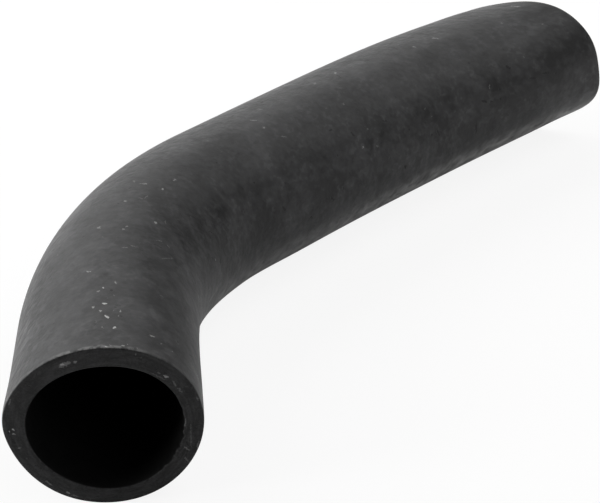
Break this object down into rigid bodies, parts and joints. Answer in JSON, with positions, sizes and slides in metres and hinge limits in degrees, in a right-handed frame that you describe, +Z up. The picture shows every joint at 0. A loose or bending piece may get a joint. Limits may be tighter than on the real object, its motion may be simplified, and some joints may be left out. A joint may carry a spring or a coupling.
{
  "type": "cooler line",
  "caption": "Moulded black rubber coolant hose with an open bore, a short straight mouth leg, a wide bend and a long leg cut aslant at its far end.",
  "frame": {"origin": "on the ground, under the middle of the hose's bounding box as it lies on its side", "axes": "+Y runs from the mouth along the short leg, +X is the side that the bend turns to, +Z is up"},
  "size_m": [0.175, 0.1872, 0.046],
  "materials": {
    "rubber": "matt black, scuffed, with a pale bloom on the upper skin"
  },
  "bodies": {
    "root": {"hose": "rubber"}
  },
  "joints": []
}
